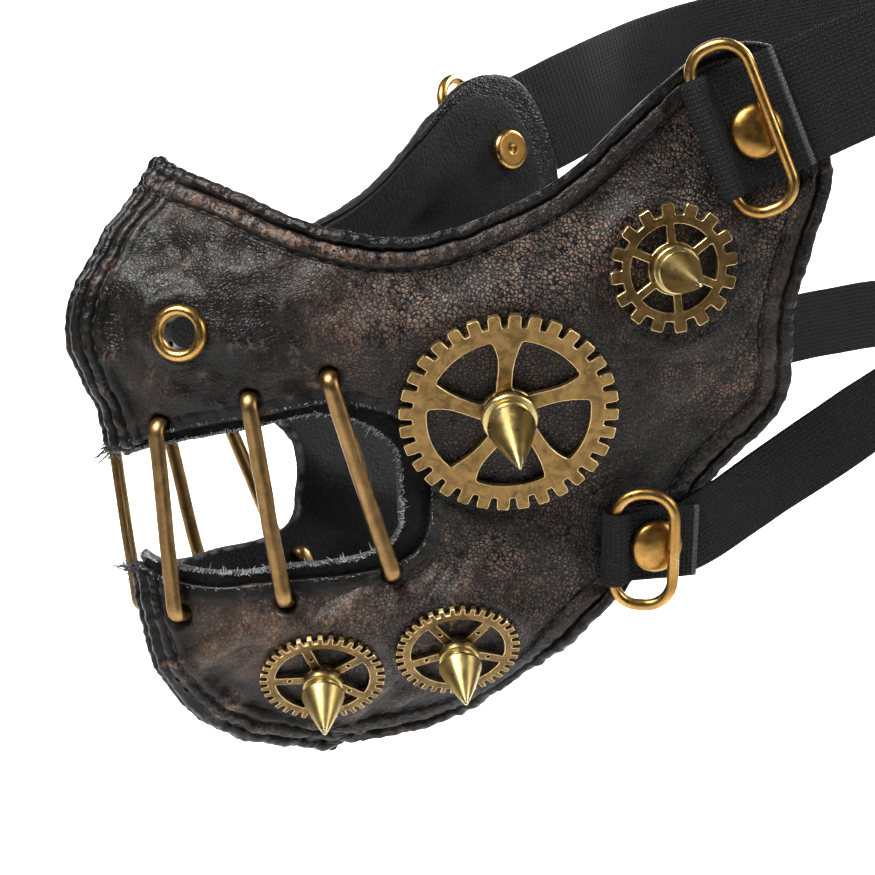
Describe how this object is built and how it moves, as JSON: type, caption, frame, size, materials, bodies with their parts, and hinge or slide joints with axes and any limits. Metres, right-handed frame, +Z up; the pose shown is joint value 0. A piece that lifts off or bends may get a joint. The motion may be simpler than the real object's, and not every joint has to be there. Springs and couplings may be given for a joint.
{
  "type": "half-face muzzle mask",
  "caption": "Steampunk half-face leather muzzle mask with a barred mouth, brass gears under cone spikes, and elastic head straps folded round wire rings.",
  "frame": {"origin": "the middle of the wearer's head at mouth height, under the ear line", "axes": "the face looks along -Y, +X is the wearer's left, +Z up"},
  "size_m": [0.15, 0.2294, 0.176],
  "materials": {
    "leather": "distressed black with taupe rub-off",
    "lining": "knitted",
    "elastic": "woven elastic",
    "antique_bronze": "antique, bright edges",
    "spike_brass": "polished",
    "bar_brass": "antique",
    "shiny_brass": "polished golden",
    "steel": "plain"
  },
  "bodies": {
    "root": {"leather_left": "leather", "leather_right": "leather", "lining_left": "lining", "lining_right": "lining", "eyelet_left": "shiny_brass", "eyelet_right": "shiny_brass", "eyelet_washer_left": "shiny_brass", "eyelet_washer_right": "shiny_brass", "bar_left_1": "bar_brass", "bar_right_1": "bar_brass", "bar_left_2": "bar_brass", "bar_right_2": "bar_brass", "bar_left_3": "bar_brass", "bar_right_3": "bar_brass", "cheek_spike_left": "spike_brass", "cheek_spike_right": "spike_brass", "cheek_screw_left": "steel", "cheek_screw_right": "steel", "temple_spike_left": "spike_brass", "temple_spike_right": "spike_brass", "temple_screw_left": "steel", "temple_screw_right": "steel", "chin_front_spike_left": "spike_brass", "chin_front_spike_right": "spike_brass", "chin_front_screw_left": "steel", "chin_front_screw_right": "steel", "chin_rear_spike_left": "spike_brass", "chin_rear_spike_right": "spike_brass", "chin_rear_screw_left": "steel", "chin_rear_screw_right": "steel", "upper_strap": "elastic", "upper_rivet_left": "shiny_brass", "upper_rivet_right": "shiny_brass", "upper_rivet_back_left": "shiny_brass", "upper_rivet_back_right": "shiny_brass", "lower_strap": "elastic", "lower_rivet_left": "shiny_brass", "lower_rivet_right": "shiny_brass", "lower_rivet_back_left": "shiny_brass", "lower_rivet_back_right": "shiny_brass"},
    "cheek_gear_left": {"cheek_gear_left": "antique_bronze"},
    "cheek_gear_right": {"cheek_gear_right": "antique_bronze"},
    "temple_gear_left": {"temple_gear_left": "antique_bronze"},
    "temple_gear_right": {"temple_gear_right": "antique_bronze"},
    "chin_front_gear_left": {"chin_front_gear_left": "antique_bronze"},
    "chin_front_gear_right": {"chin_front_gear_right": "antique_bronze"},
    "chin_rear_gear_left": {"chin_rear_gear_left": "antique_bronze"},
    "chin_rear_gear_right": {"chin_rear_gear_right": "antique_bronze"},
    "upper_ring_left": {"upper_ring_left": "shiny_brass"},
    "upper_ring_right": {"upper_ring_right": "shiny_brass"},
    "lower_ring_left": {"lower_ring_left": "shiny_brass"},
    "lower_ring_right": {"lower_ring_right": "shiny_brass"}
  },
  "joints": [
    {"name": "cheek_gear_left_spin", "type": "hinge", "parent": "root", "child": "cheek_gear_left", "pos_m": [0.04008, -0.04911, 0.01858], "axis": [0.8513, -0.2918, -0.4361], "continuous": true},
    {"name": "cheek_gear_right_spin", "type": "hinge", "parent": "root", "child": "cheek_gear_right", "pos_m": [-0.04008, -0.04911, 0.01858], "axis": [-0.8513, -0.2918, -0.4361], "continuous": true},
    {"name": "temple_gear_left_spin", "type": "hinge", "parent": "root", "child": "temple_gear_left", "pos_m": [0.05448, -0.02025, 0.04674], "axis": [0.9646, -0.1915, -0.1812], "continuous": true},
    {"name": "temple_gear_right_spin", "type": "hinge", "parent": "root", "child": "temple_gear_right", "pos_m": [-0.05448, -0.02025, 0.04674], "axis": [-0.9646, -0.1915, -0.1812], "continuous": true},
    {"name": "chin_front_gear_left_spin", "type": "hinge", "parent": "root", "child": "chin_front_gear_left", "pos_m": [0.01554, -0.07917, -0.03507], "axis": [0.6893, -0.241, -0.6832], "continuous": true},
    {"name": "chin_front_gear_right_spin", "type": "hinge", "parent": "root", "child": "chin_front_gear_right", "pos_m": [-0.01554, -0.07917, -0.03507], "axis": [-0.6893, -0.241, -0.6832], "continuous": true},
    {"name": "chin_rear_gear_left_spin", "type": "hinge", "parent": "root", "child": "chin_rear_gear_left", "pos_m": [0.02556, -0.05373, -0.0296], "axis": [0.7268, -0.1976, -0.6578], "continuous": true},
    {"name": "chin_rear_gear_right_spin", "type": "hinge", "parent": "root", "child": "chin_rear_gear_right", "pos_m": [-0.02556, -0.05373, -0.0296], "axis": [-0.7268, -0.1976, -0.6578], "continuous": true},
    {"name": "upper_ring_left_swing", "type": "hinge", "parent": "root", "child": "upper_ring_left", "pos_m": [0.05997, -0.01375, 0.07161], "axis": [0.0454, 0.3868, -0.921], "range_deg": [0, 120]},
    {"name": "upper_ring_right_swing", "type": "hinge", "parent": "root", "child": "upper_ring_right", "pos_m": [-0.05997, -0.01375, 0.07161], "axis": [0.0454, -0.3868, 0.921], "range_deg": [0, 120]},
    {"name": "lower_ring_left_swing", "type": "hinge", "parent": "root", "child": "lower_ring_left", "pos_m": [0.04087, -0.02555, -0.01035], "axis": [-0.26, 0.0961, -0.9608], "range_deg": [0, 150]},
    {"name": "lower_ring_right_swing", "type": "hinge", "parent": "root", "child": "lower_ring_right", "pos_m": [-0.04087, -0.02555, -0.01035], "axis": [-0.26, -0.0961, 0.9608], "range_deg": [0, 150]}
  ]
}
